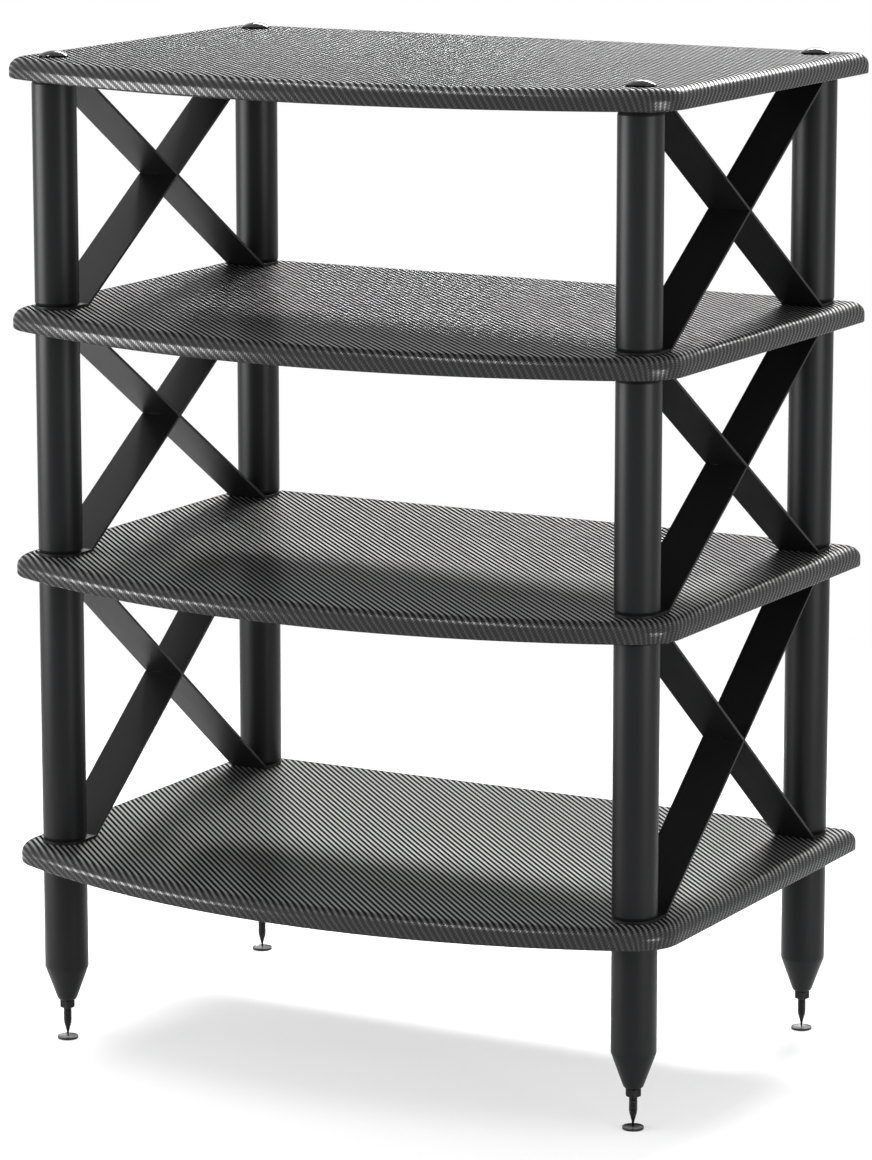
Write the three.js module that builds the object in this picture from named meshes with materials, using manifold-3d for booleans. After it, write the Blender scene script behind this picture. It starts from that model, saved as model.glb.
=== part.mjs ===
// Audio equipment rack: four bow-fronted boards carried on steel posts,
// braced at both sides by crossed flat strips, and standing on spiked feet.
// Millimetres, +Z up, front at -Y. The origin is on the floor under the middle of the rack.
import * as THREE from 'three';
import { mergeVertices } from 'three/addons/utils/BufferGeometryUtils.js';
import Module from 'manifold-3d';

const wasm = await Module();
wasm.setup();

// Boards
const BOARD_WIDTH = 664;
const BOARD_SIDE_DEPTH = 417;
const BOARD_BOW = 80;
const BOARD_THICKNESS = 18.2;
const FRONT_CORNER_RADIUS = 44;
const BACK_CORNER_RADIUS = 17;
const TOP_EDGE_INSET = 13;
const TOP_EDGE_DROP = 10.5;
const BOTTOM_EDGE_RADIUS = 1.6;
const BOARD_HOLE_RADIUS = 4.4;

// Posts
const POST_RADIUS = 20;
const POST_WALL = 2;
const POST_END_INSET = 1;
const POST_END_RISE = 3;
const SHORT_POST = 202;
const TALL_POST = 244.5;
const POST_SIDE_INSET = 40.5;
const POST_BACK_INSET = 39.5;
const POST_FRONT_INSET = 25;

// Threaded studs and screws, drawn at their outer diameter
const END_PLATE = 12;
const STUD_RADIUS = 3.8;
const STUD_REACH = 14;

// Crossed strips
const STRIP_THICKNESS = 2.5;
const STRIP_BEND_INNER = 2;
const STRIP_BEND_BEYOND_POST = 1.2;

// Legs
const LEG_LENGTH = 132.8;
const LEG_CONE = 32.5;
const LEG_END_RADIUS = 8.8;
const LEG_END_BEVEL = 1.6;
const LEG_TOP_BEVEL = 0.6;
const LEG_THREAD_DEPTH = 52;

// Feet
const NUT_FLATS = 13;
const NUT_HEIGHT = 7.2;
const SPIKE_RADIUS = 3.8;
const SPIKE_IN_LEG = 34;
const SPIKE_SHOWN = 14.3;
const SPIKE_TAPER = 8.4;
const SPIKE_NEEDLE = 5.6;
const NEEDLE_RADIUS = 1.25;
const POINT_RADIUS = 0.5;
const DISC_RADIUS = 9.5;
const DISC_HEIGHT = 2.3;
const DISC_RIM = 0.9;
const DISC_FLOOR = 1.2;
const DISC_BEVEL = 0.4;
const DIMPLE_RADIUS = 1.6;

// Dome-headed screws through the top board
const CAP_RADIUS = 13.2;
const CAP_HEIGHT = 5.4;
const CAP_FOOT = 1.6;

// Clearances
const FIT_GAP = 0.3;
const OVERRUN = 5;
const BAY_MARGIN = 1.5;

// Facets
const ROUND_SIDES = 20;
const DISC_SIDES = 16;
const SMALL_SIDES = 10;
const HOLE_SIDES = 10;
const TAB_STEPS = 8;
const BOW_STEPS = 18;
const CORNER_STEPS = 4;
const EDGE_STEPS = 5;
const BEND_STEPS = 2;
const DOME_STEPS = 4;

// Places that follow from the sizes above
const THREAD_RADIUS = STUD_RADIUS + FIT_GAP;
const SPIKE_BORE_RADIUS = SPIKE_RADIUS + FIT_GAP;
const HALF_WIDTH = BOARD_WIDTH / 2;
const HALF_DEPTH = (BOARD_SIDE_DEPTH + BOARD_BOW) / 2;
const POST_X = HALF_WIDTH - POST_SIDE_INSET;
const BAY_HALF_WIDTH = POST_X - POST_RADIUS - BAY_MARGIN;
const BACK_Y = HALF_DEPTH - POST_BACK_INSET;
const POST_SPACING = BOARD_SIDE_DEPTH - POST_FRONT_INSET - POST_BACK_INSET;
const FRONT_Y = BACK_Y - POST_SPACING;
const POINT_Z = DISC_FLOOR + FIT_GAP;
const NUT_Z = POINT_Z + SPIKE_NEEDLE + SPIKE_TAPER + SPIKE_SHOWN;
const LEG_Z = NUT_Z + NUT_HEIGHT;
const BASE_Z = LEG_Z + LEG_LENGTH;
const POST_LIFT = BOARD_THICKNESS + STRIP_THICKNESS;
const BAYS = [
  { name: 'bottom', post: TALL_POST, z: BASE_Z },
  { name: 'middle', post: SHORT_POST, z: BASE_Z + POST_LIFT + TALL_POST + STRIP_THICKNESS },
];
BAYS.push({ name: 'top', post: SHORT_POST, z: BAYS[1].z + POST_LIFT + SHORT_POST + STRIP_THICKNESS });
const TOP_Z = BAYS[2].z + POST_LIFT + SHORT_POST + STRIP_THICKNESS;
const CORNERS = [
  { name: 'front_left', x: -POST_X, y: FRONT_Y },
  { name: 'front_right', x: POST_X, y: FRONT_Y },
  { name: 'back_left', x: -POST_X, y: BACK_Y },
  { name: 'back_right', x: POST_X, y: BACK_Y },
];

// Finishes
const finish = (color, roughness, metalness) => new THREE.MeshStandardMaterial({ color, roughness, metalness });
const weave = finish(0x2b2c2d, 0.22, 0.1);
const satinBlack = finish(0x26272a, 0.42, 0.5);
const stripBlack = finish(0x1c1d1f, 0.5, 0.4);
const glossBlack = finish(0x0c0c0d, 0.08, 0.6);
const darkPlate = finish(0x55585c, 0.18, 0.95);
const zincPlate = finish(0xa9adb0, 0.35, 0.9);

const rack = new THREE.Group();
rack.name = 'audio_rack';

function place(name, geometry, material, x, y, z, parent = rack) {
  const mesh = new THREE.Mesh(geometry, material);
  mesh.name = name;
  mesh.position.set(x, y, z);
  parent.add(mesh);
  return mesh;
}

// Keeps only positions and shares the vertices that lie on each other
function welded(geometry) {
  const bare = new THREE.BufferGeometry();
  const source = geometry.index ? geometry.toNonIndexed() : geometry;
  bare.setAttribute('position', source.getAttribute('position').clone());
  return mergeVertices(bare);
}

function toSolid(geometry) {
  const shared = welded(geometry);
  const vertProperties = new Float32Array(shared.getAttribute('position').array);
  const triVerts = new Uint32Array(shared.index.array);
  return new wasm.Manifold(new wasm.Mesh({ numProp: 3, vertProperties, triVerts }));
}

function toGeometry(solid) {
  const mesh = solid.getMesh();
  const geometry = new THREE.BufferGeometry();
  geometry.setAttribute('position', new THREE.BufferAttribute(mesh.vertProperties, 3));
  geometry.setIndex(new THREE.BufferAttribute(mesh.triVerts, 1));
  return geometry;
}

// A turned piece from its [radius, height] profile, standing on +Z
function turned(profile, sides) {
  const points = profile.map(([radius, height]) => new THREE.Vector2(radius, height));
  return welded(new THREE.LatheGeometry(points, sides).rotateX(Math.PI / 2));
}

// A ring-shaped profile closes on its first point
const ring = (profile, sides) => turned([...profile, profile[0]], sides);

function arc(x, y, radius, from, to, steps) {
  const points = [];
  for (let i = 0; i <= steps; i += 1) {
    const angle = from + ((to - from) * i) / steps;
    points.push(new THREE.Vector2(x + radius * Math.cos(angle), y + radius * Math.sin(angle)));
  }
  return points;
}

// The board's outline drawn in by an inset: straight back and sides, bowed front, round corners
function boardOutline(inset) {
  const bowRadius = (HALF_WIDTH ** 2 + BOARD_BOW ** 2) / (2 * BOARD_BOW);
  const bowCentreY = bowRadius - HALF_DEPTH;
  const frontX = HALF_WIDTH - FRONT_CORNER_RADIUS;
  const frontY = bowCentreY - Math.sqrt((bowRadius - FRONT_CORNER_RADIUS) ** 2 - frontX ** 2);
  const turn = Math.atan2(frontX, bowCentreY - frontY);
  const front = FRONT_CORNER_RADIUS - inset;
  const back = BACK_CORNER_RADIUS - inset;
  const backX = HALF_WIDTH - BACK_CORNER_RADIUS;
  const backY = HALF_DEPTH - BACK_CORNER_RADIUS;
  const down = -Math.PI / 2;
  const bow = arc(0, bowCentreY, bowRadius - inset, down - turn, down + turn, BOW_STEPS);
  return [
    ...arc(-frontX, frontY, front, -Math.PI, down - turn, CORNER_STEPS),
    ...bow.slice(1, -1),
    ...arc(frontX, frontY, front, down + turn, 0, CORNER_STEPS),
    ...arc(backX, backY, back, 0, Math.PI / 2, CORNER_STEPS),
    new THREE.Vector2(BAY_HALF_WIDTH, HALF_DEPTH - inset),
    new THREE.Vector2(-BAY_HALF_WIDTH, HALF_DEPTH - inset),
    ...arc(-backX, backY, back, Math.PI / 2, Math.PI, CORNER_STEPS),
  ];
}

// A board from stacked outlines: a small round below, a wide oval round above, and the stud holes
function boardGeometry() {
  const levels = [
    { z: 0, inset: BOTTOM_EDGE_RADIUS },
    { z: BOTTOM_EDGE_RADIUS, inset: 0 },
  ];
  for (let i = 0; i <= EDGE_STEPS; i += 1) {
    const angle = (i / EDGE_STEPS) * (Math.PI / 2);
    const z = BOARD_THICKNESS - TOP_EDGE_DROP * (1 - Math.sin(angle));
    levels.push({ z, inset: TOP_EDGE_INSET * (1 - Math.cos(angle)) });
  }
  const rings = levels.map(({ inset }) => boardOutline(inset));
  const holes = CORNERS.map(({ x, y }) => arc(x, y, BOARD_HOLE_RADIUS, 0, -2 * Math.PI, HOLE_SIDES).slice(1));
  const positions = [];
  const corner = (point, z) => positions.push(point.x, point.y, z);
  const wall = (lower, upper, low, high) => {
    lower.forEach((point, i) => {
      const next = (i + 1) % lower.length;
      corner(point, low);
      corner(lower[next], low);
      corner(upper[next], high);
      corner(point, low);
      corner(upper[next], high);
      corner(upper[i], high);
    });
  };
  for (let i = 1; i < levels.length; i += 1) {
    wall(rings[i - 1], rings[i], levels[i - 1].z, levels[i].z);
  }
  holes.forEach((hole) => wall(hole, hole, 0, BOARD_THICKNESS));
  const fill = (outline, cuts, z, order) => {
    const points = [outline, ...cuts].flat();
    THREE.ShapeUtils.triangulateShape(outline, cuts).forEach((triangle) => {
      order.forEach((k) => corner(points[triangle[k]], z));
    });
  };
  const face = (outline, z, order) => {
    const inBay = (point) => Math.abs(point.x) <= BAY_HALF_WIDTH;
    const first = outline.findIndex(inBay);
    const next = outline.findIndex((point, i) => i > first && !inBay(point));
    const back = outline.findIndex((point, i) => i > next && inBay(point));
    const bay = [...outline.slice(first, next), ...outline.slice(back, back + 2)];
    const right = outline.slice(next - 1, back + 1);
    const left = [...outline.slice(back + 1), ...outline.slice(0, first + 1)];
    fill(bay, [], z, order);
    fill(right, holes.filter((hole) => hole[0].x > 0), z, order);
    fill(left, holes.filter((hole) => hole[0].x < 0), z, order);
  };
  face(rings.at(-1), BOARD_THICKNESS, [0, 1, 2]);
  face(rings[0], 0, [2, 1, 0]);
  const geometry = new THREE.BufferGeometry();
  geometry.setAttribute('position', new THREE.Float32BufferAttribute(positions, 3));
  return welded(geometry);
}

// A tube that narrows a little at its ends, with a threaded plate welded flush into each end
function postGeometry(length) {
  const bore = POST_RADIUS - POST_WALL;
  return ring([
    [THREAD_RADIUS, 0],
    [POST_RADIUS - POST_END_INSET, 0],
    [POST_RADIUS, POST_END_RISE],
    [POST_RADIUS, length - POST_END_RISE],
    [POST_RADIUS - POST_END_INSET, length],
    [THREAD_RADIUS, length],
    [THREAD_RADIUS, length - END_PLATE],
    [bore, length - END_PLATE],
    [bore, END_PLATE],
    [THREAD_RADIUS, END_PLATE],
  ], ROUND_SIDES);
}

// A leg: a tube with a threaded plate at its top and a tapered nose that holds the spike's thread
function legGeometry() {
  const bore = POST_RADIUS - POST_WALL;
  return ring([
    [SPIKE_BORE_RADIUS, 0],
    [LEG_END_RADIUS - LEG_END_BEVEL, 0],
    [LEG_END_RADIUS, LEG_END_BEVEL],
    [POST_RADIUS, LEG_CONE],
    [POST_RADIUS, LEG_LENGTH - LEG_TOP_BEVEL],
    [POST_RADIUS - LEG_TOP_BEVEL, LEG_LENGTH],
    [THREAD_RADIUS, LEG_LENGTH],
    [THREAD_RADIUS, LEG_LENGTH - END_PLATE],
    [bore, LEG_LENGTH - END_PLATE],
    [bore, LEG_THREAD_DEPTH],
    [SPIKE_BORE_RADIUS, LEG_THREAD_DEPTH],
  ], ROUND_SIDES);
}

const studGeometry = (length) => turned([[0, 0], [STUD_RADIUS, 0], [STUD_RADIUS, length], [0, length]], SMALL_SIDES);

// A low dome on a threaded shank that reaches through the top board into the post
function capScrewGeometry() {
  const dome = [];
  const rise = CAP_HEIGHT - CAP_FOOT;
  const domeRadius = (CAP_RADIUS ** 2 + rise ** 2) / (2 * rise);
  const spread = Math.asin(CAP_RADIUS / domeRadius);
  for (let i = 0; i < DOME_STEPS; i += 1) {
    const angle = spread * (1 - i / DOME_STEPS);
    dome.push([domeRadius * Math.sin(angle), CAP_HEIGHT - domeRadius * (1 - Math.cos(angle))]);
  }
  const shank = BOARD_THICKNESS + STRIP_THICKNESS + STUD_REACH;
  return turned([
    [0, -shank],
    [STUD_RADIUS, -shank],
    [STUD_RADIUS, 0],
    [CAP_RADIUS, 0],
    ...dome,
    [0, CAP_HEIGHT],
  ], ROUND_SIDES);
}

// A six-sided lock nut with its threaded hole
function nutGeometry() {
  const outline = new THREE.Shape(arc(0, 0, NUT_FLATS / Math.sqrt(3), 0, 2 * Math.PI, 6).slice(1));
  outline.holes.push(new THREE.Path(arc(0, 0, SPIKE_BORE_RADIUS, 0, -2 * Math.PI, HOLE_SIDES).slice(1)));
  return welded(new THREE.ExtrudeGeometry(outline, { depth: NUT_HEIGHT, bevelEnabled: false }));
}

function spikeGeometry() {
  const shoulder = SPIKE_NEEDLE + SPIKE_TAPER;
  const top = shoulder + SPIKE_SHOWN + NUT_HEIGHT + SPIKE_IN_LEG;
  return turned([
    [0, 0],
    [POINT_RADIUS, 0],
    [NEEDLE_RADIUS, SPIKE_NEEDLE],
    [SPIKE_RADIUS, shoulder],
    [SPIKE_RADIUS, top],
    [0, top],
  ], SMALL_SIDES);
}

// A shallow dish that keeps the spike off the floor
function discGeometry() {
  return turned([
    [0, 0],
    [DISC_RADIUS - DISC_BEVEL, 0],
    [DISC_RADIUS, DISC_BEVEL],
    [DISC_RADIUS, DISC_HEIGHT - DISC_BEVEL],
    [DISC_RADIUS - DISC_BEVEL, DISC_HEIGHT],
    [DISC_RADIUS - DISC_RIM, DISC_HEIGHT],
    [DIMPLE_RADIUS, DISC_FLOOR],
    [0, DISC_FLOOR],
  ], DISC_SIDES);
}

// Strips
// A strip is drawn in the plane of Y and Z: a flat tab, a bend, a straight slope, a bend and a tab.
// It starts at the first post's axis and ends at the second's. A negative rise slopes down.
function stripLine(span, rise) {
  const up = Math.sign(rise);
  const bendAt = POST_RADIUS + STRIP_BEND_BEYOND_POST;
  const slope = Math.atan2(Math.abs(rise), span - 2 * bendAt);
  const radius = STRIP_BEND_INNER + STRIP_THICKNESS / 2;
  const tangent = radius * Math.tan(slope / 2);
  const bend = arc(bendAt - tangent, radius, radius, -Math.PI / 2, slope - Math.PI / 2, BEND_STEPS);
  const first = [new THREE.Vector2(-POST_RADIUS - OVERRUN, 0), ...bend];
  const last = first.map(({ x, y }) => new THREE.Vector2(span - x, Math.abs(rise) - y)).reverse();
  return [...first, ...last].map(({ x, y }) => new THREE.Vector2(x, up * y));
}

// A band of even thickness along a line
function band(line, thickness) {
  const shift = (side) => line.map((point, i) => {
    const before = line[Math.max(i - 1, 0)];
    const after = line[Math.min(i + 1, line.length - 1)];
    const into = point.clone().sub(i ? before : point);
    const out = after.clone().sub(i < line.length - 1 ? point : before);
    const first = (i ? into : out).normalize();
    const second = (i < line.length - 1 ? out : into).normalize();
    const along = first.clone().add(second).normalize();
    const reach = (side * thickness) / 2 / along.dot(first);
    return new THREE.Vector2(point.x - along.y * reach, point.y + along.x * reach);
  });
  return new THREE.Shape([...shift(-1), ...shift(1).reverse()]);
}

// Extrudes a shape of the Y and Z plane from one X to another
function acrossX(shape, from, to) {
  const geometry = new THREE.ExtrudeGeometry(shape, { depth: to - from, bevelEnabled: false });
  geometry.rotateX(Math.PI / 2).rotateZ(Math.PI / 2).translate(from, 0, 0);
  return toSolid(geometry);
}

// The strip's outline seen from above: as wide as a post, with round ends about both studs
function stripPlan(span, height) {
  const plan = new THREE.Shape([
    ...arc(0, 0, POST_RADIUS, -Math.PI, 0, TAB_STEPS),
    ...arc(0, span, POST_RADIUS, 0, Math.PI, TAB_STEPS),
  ]);
  [0, span].forEach((y) => {
    plan.holes.push(new THREE.Path(arc(0, y, BOARD_HOLE_RADIUS, 0, -2 * Math.PI, HOLE_SIDES).slice(1)));
  });
  const depth = height + 2 * OVERRUN;
  const geometry = new THREE.ExtrudeGeometry(plan, { depth, bevelEnabled: false });
  return toSolid(geometry.translate(0, 0, -depth / 2));
}

// One strip of a crossed pair. Each has a slot to its middle, where the other one passes through.
function stripGeometry(rise, slotSide) {
  const span = POST_SPACING;
  const half = POST_RADIUS + OVERRUN;
  const line = stripLine(span, rise);
  const other = stripLine(span, -rise).map(({ x, y }) => new THREE.Vector2(x, y + rise));
  const gap = FIT_GAP / 2;
  const slot = slotSide > 0 ? [-gap, half] : [-half, gap];
  const flat = acrossX(band(line, STRIP_THICKNESS), -half, half);
  const passing = acrossX(band(other, STRIP_THICKNESS + 2 * FIT_GAP), ...slot);
  const plan = stripPlan(span, 2 * (Math.abs(rise) + STRIP_THICKNESS));
  return toGeometry(flat.intersect(plan).subtract(passing));
}

// Boards
const board = boardGeometry();
[...BAYS.map(({ z }) => z), TOP_Z].forEach((z, i) => {
  place(['base_shelf', 'lower_shelf', 'upper_shelf', 'top_shelf'][i], board, weave, 0, 0, z);
});

// Bays: four posts, and a crossed pair of strips at each side
BAYS.forEach(({ name, post, z }) => {
  const tabZ = z + BOARD_THICKNESS;
  const postZ = tabZ + STRIP_THICKNESS;
  const tube = postGeometry(post);
  CORNERS.forEach((at) => place(`post_${name}_${at.name}`, tube, satinBlack, at.x, at.y, postZ));
  const rise = post + STRIP_THICKNESS;
  const rising = stripGeometry(rise, -1);
  const falling = stripGeometry(-rise, 1);
  [['left', -POST_X], ['right', POST_X]].forEach(([side, x]) => {
    const low = tabZ + STRIP_THICKNESS / 2;
    place(`strip_rising_${name}_${side}`, rising, stripBlack, x, FRONT_Y, low);
    place(`strip_falling_${name}_${side}`, falling, stripBlack, x, FRONT_Y, low + rise);
  });
});

// Double-ended studs through the lower three boards, into a post above and a post or leg below
const [baseZ, lowerZ, upperZ] = BAYS.map(({ z }) => z);
const studAbove = BOARD_THICKNESS + STRIP_THICKNESS + STUD_REACH;
const studs = [
  { name: 'base', z: baseZ, below: STUD_REACH },
  { name: 'lower', z: lowerZ, below: STRIP_THICKNESS + STUD_REACH },
  { name: 'upper', z: upperZ, below: STRIP_THICKNESS + STUD_REACH },
];
studs.forEach(({ name, z, below }) => {
  const stud = studGeometry(below + studAbove);
  CORNERS.forEach((at) => place(`stud_${name}_${at.name}`, stud, zincPlate, at.x, at.y, z - below));
});

// Cap screws, legs and feet
const capScrew = capScrewGeometry();
const leg = legGeometry();
const nut = nutGeometry();
const spike = spikeGeometry();
const disc = discGeometry();
CORNERS.forEach(({ name, x, y }) => {
  place(`cap_screw_${name}`, capScrew, glossBlack, x, y, TOP_Z + BOARD_THICKNESS);
  place(`leg_${name}`, leg, satinBlack, x, y, LEG_Z);
  place(`lock_nut_${name}`, nut, satinBlack, x, y, NUT_Z);
  place(`spike_${name}`, spike, satinBlack, x, y, POINT_Z);
  place(`floor_disc_${name}`, disc, darkPlate, x, y, 0);
});

export default rack;
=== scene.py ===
# %% [markdown]
# # An audio rack on spiked feet
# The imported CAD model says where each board, post, strip and foot of the rack sits. This lesson
# loads it as a fixed frame, makes finer shapes over it, gives each piece its finish, and lights
# the result.

import math

import bmesh
import bpy
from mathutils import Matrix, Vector


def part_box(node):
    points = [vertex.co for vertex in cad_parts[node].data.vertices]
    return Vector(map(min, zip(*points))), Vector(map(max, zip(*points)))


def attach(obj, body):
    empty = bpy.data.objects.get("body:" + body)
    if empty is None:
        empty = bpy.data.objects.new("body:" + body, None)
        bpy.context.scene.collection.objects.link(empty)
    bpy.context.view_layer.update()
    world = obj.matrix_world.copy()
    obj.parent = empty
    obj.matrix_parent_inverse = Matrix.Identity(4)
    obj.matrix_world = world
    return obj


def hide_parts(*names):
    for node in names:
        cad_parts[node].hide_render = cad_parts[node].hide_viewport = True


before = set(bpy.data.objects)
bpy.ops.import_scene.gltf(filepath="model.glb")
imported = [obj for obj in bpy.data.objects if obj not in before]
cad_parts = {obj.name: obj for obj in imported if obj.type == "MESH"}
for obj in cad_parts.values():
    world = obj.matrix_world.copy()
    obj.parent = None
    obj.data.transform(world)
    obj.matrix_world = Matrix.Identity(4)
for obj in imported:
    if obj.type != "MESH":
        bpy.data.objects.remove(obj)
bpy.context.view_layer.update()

# %% [markdown]
# ## Sizes
# Every place is read from the frame, so nothing has to be fitted by eye. Only the small sizes
# that a box can't tell, such as an edge's radius or a tube's bevel, are written here, in metres.

# %% Sizes of the rack's details
CORNERS = ("front_left", "front_right", "back_left", "back_right")
BAYS = ("bottom", "middle", "top")
SHELVES = ("base_shelf", "lower_shelf", "upper_shelf", "top_shelf")
BOARD_BOW = 0.080
FRONT_CORNER, BACK_CORNER = 0.044, 0.017
TOP_EDGE_INSET, TOP_EDGE_DROP, BOTTOM_EDGE = 0.013, 0.0105, 0.0016
POST_RADIUS, POST_WALL = 0.020, 0.002
END_INSET, END_RISE, END_ROUND = 0.001, 0.003, 0.0003
WELD_HALF, WELD_DEPTH = 0.0004, 0.0003
LEG_NOSE, LEG_CHAMFER, LEG_CONE = 0.0088, 0.0016, 0.0325
LEG_BEVEL, LEG_ROUND = 0.0006, 0.0012
SCREW_HEAD, SCREW_FOOT, SCREW_RISE, SHANK_RADIUS = 0.0132, 0.0016, 0.0038, 0.0038
SCREW_BEVEL, SCREW_LIP, DOME_STEPS = 0.0004, 0.0003, 15
NUT_FLATS, NUT_FACE, NUT_CHAMFER, NUT_BORE = 0.013, 0.0061, 0.0009, 0.0040
SPIKE_CORE, SPIKE_TAPER, SPIKE_ROUND = 0.0034, 0.0132, 0.0006
NEEDLE_TIP, NEEDLE_TOP, NEEDLE_HEIGHT = 0.0005, 0.00125, 0.0056
THREAD_RADIUS, THREAD_PITCH, THREAD_SHARE = 0.00323, 0.00125, 0.46
THREAD_START, THREAD_TOP_GAP = 0.0146, 0.001
DISC_RADIUS, DISC_HEIGHT, DISC_ROUND = 0.0095, 0.0023, 0.0003
DISH = ((0.0086, 0.0023), (0.0078, 0.0018), (0.003, 0.0014), (0.0016, 0.0012), (0, 0.0012))
STRIP_THICKNESS, STRIP_BEND_INNER, STRIP_BEND_BEYOND = 0.0025, 0.002, 0.0012
SLOT_ROOM, SLOT_WIDTH, SLOT_REACH = 0.0003, 0.030, 0.060
WORN_WIDTH, WORN_STEPS, WORN_FROM = 0.0003, 2, 40  # the last in degrees
MERGE_DISTANCE = 1e-5
SHARP_FROM = 30  # degrees between two faces


def middle(node):
    low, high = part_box(node)
    return (Vector(low) + Vector(high)) / 2


def floor_of(node):
    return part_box(node)[0][2]


def height_of(node):
    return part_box(node)[1][2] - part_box(node)[0][2]


AXES = {corner: middle(f"leg_{corner}").to_2d() for corner in CORNERS}
print("post axes", {corner: tuple(round(value, 4) for value in at) for corner, at in AXES.items()})

# %% [markdown]
# ## Sums with sockets
# Shader and geometry trees are full of small sums. A Wire is one output socket, and its operators
# add the Math nodes, so a pattern can be written as the formula that it is. A Tree adds every
# other node through one method: the node's type, its settings, then the values or wires of its
# sockets.


# %% Wires and trees
class Wire:
    """One output socket, which can be used in a sum as a number can."""

    def __init__(self, tree, socket):
        self.tree, self.socket = tree, socket

    def work(self, operation, *values):
        return self.tree.add("ShaderNodeMath", {"operation": operation}, dict(enumerate(values)))

    def __add__(self, other):
        return self.work("ADD", self, other)

    def __radd__(self, other):
        return self.work("ADD", other, self)

    def __sub__(self, other):
        return self.work("SUBTRACT", self, other)

    def __rsub__(self, other):
        return self.work("SUBTRACT", other, self)

    def __mul__(self, other):
        return self.work("MULTIPLY", self, other)

    def __rmul__(self, other):
        return self.work("MULTIPLY", other, self)

    def __truediv__(self, other):
        return self.work("DIVIDE", self, other)

    def __mod__(self, other):
        return self.work("FLOORED_MODULO", self, other)

    def __pow__(self, other):
        return self.work("POWER", self, other)

    def __lt__(self, other):
        return self.work("LESS_THAN", self, other)

    def __gt__(self, other):
        return self.work("GREATER_THAN", self, other)

    def floor(self):
        return self.work("FLOOR", self)

    def sin(self):
        return self.work("SINE", self)

    def cos(self):
        return self.work("COSINE", self)

    def max(self, other):
        return self.work("MAXIMUM", self, other)

    def min(self, other):
        return self.work("MINIMUM", self, other)


class Tree:
    """A node tree that grows by one method."""

    def __init__(self, nodes):
        self.nodes = nodes

    def add(self, kind, settings=None, sockets=None, take=0):
        node = self.nodes.nodes.new(kind)
        for name, value in (settings or {}).items():
            setattr(node, name, value)
        for name, value in (sockets or {}).items():
            socket = self.socket(node.inputs, name)
            for link in value if isinstance(value, list) else [value]:
                if isinstance(link, Wire):
                    self.nodes.links.new(link.socket, socket)
                else:
                    socket.default_value = link
        if isinstance(take, tuple):
            return tuple(Wire(self, self.socket(node.outputs, name)) for name in take)
        return Wire(self, self.socket(node.outputs, take)) if len(node.outputs) else node

    @staticmethod
    def socket(sockets, name):
        if isinstance(name, int):
            return sockets[name]
        return next(socket for socket in sockets if socket.name == name and socket.enabled)


# %% [markdown]
# ## Growing a piece
# A geometry tree gets named inputs for its sizes. It runs once as a modifier on a small base
# mesh, and its result becomes the piece's own plain mesh, because a live modifier full of
# instances would be lost when the model is handed on. Merged doubles and fresh normals make each
# shell closed and outward.


# %% Geometry trees with named inputs
KINDS = {
    float: "NodeSocketFloat",
    int: "NodeSocketInt",
    str: "NodeSocketMaterial",
    object: "NodeSocketObject",
}


def geometry_tree(name, inputs):
    nodes = bpy.data.node_groups.new(name, "GeometryNodeTree")
    nodes.interface.new_socket("Geometry", in_out="OUTPUT", socket_type="NodeSocketGeometry")
    nodes.interface.new_socket("Points", in_out="INPUT", socket_type="NodeSocketGeometry")
    for label, kind in inputs.items():
        nodes.interface.new_socket(label, in_out="INPUT", socket_type=KINDS[kind])
    tree = Tree(nodes)
    tree.given = tree.add("NodeGroupInput", take=("Points", *inputs))
    return tree


def deliver(tree, points, part, material):
    """The last nodes of every tree: the part at each point, as plain meshes with one material."""
    copies = tree.add("GeometryNodeInstanceOnPoints", {}, {"Points": points, "Instance": part})
    real = tree.add("GeometryNodeRealizeInstances", {}, {"Geometry": copies})
    done = tree.add("GeometryNodeSetMaterial", {}, {"Geometry": real, "Material": material})
    tree.add("NodeGroupOutput", {}, {"Geometry": done})


def dots(name, points, edges=(), **attributes):
    """A bare mesh of points, with vectors stored on them."""
    mesh = bpy.data.meshes.new(name)
    mesh.from_pydata([tuple(point) for point in points], list(edges), [])
    for label, vectors in attributes.items():
        layer = mesh.attributes.new(label, "FLOAT_VECTOR", "POINT")
        layer.data.foreach_set("vector", [value for vector in vectors for value in vector])
    return mesh


def guide(name, points, edges=(), **attributes):
    """A helper object that a tree reads. It is deleted once its piece is grown."""
    helper = bpy.data.objects.new(name, dots(name, points, edges, **attributes))
    bpy.context.scene.collection.objects.link(helper)
    return helper


def parts(tree, vector):
    return tree.add("ShaderNodeSeparateXYZ", {}, {0: vector}, ("X", "Y", "Z"))


def joined(tree, x=0.0, y=0.0, z=0.0):
    return tree.add("ShaderNodeCombineXYZ", {}, {"X": x, "Y": y, "Z": z})


def sample(tree, geometry, value, index):
    return tree.add(
        "GeometryNodeSampleIndex",
        {"data_type": "FLOAT_VECTOR", "domain": "POINT"},
        {"Geometry": geometry, "Value": value, "Index": index},
    )


def named(tree, label):
    settings = {"data_type": "FLOAT_VECTOR"}
    return tree.add("GeometryNodeInputNamedAttribute", settings, {"Name": label})


def points_of(tree, helper):
    return tree.add("GeometryNodeObjectInfo", {}, {"Object": helper}, "Geometry")


def lattice(tree, columns, rows, wraps):
    """A grid whose column and row numbers are given. One that wraps ends where it began."""
    sizes = {"Size X": columns - (0 if wraps else 1), "Size Y": rows - 1}
    counts = {"Vertices X": columns + (1 if wraps else 0), "Vertices Y": rows}
    sheet = tree.add("GeometryNodeMeshGrid", {}, {**sizes, **counts})
    across, down, _ = parts(tree, tree.add("GeometryNodeInputPosition"))
    column = (across + sizes["Size X"] / 2 + 0.5).floor()
    return sheet, column % columns if wraps else column, (down + (rows - 1) / 2 + 0.5).floor()


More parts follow.
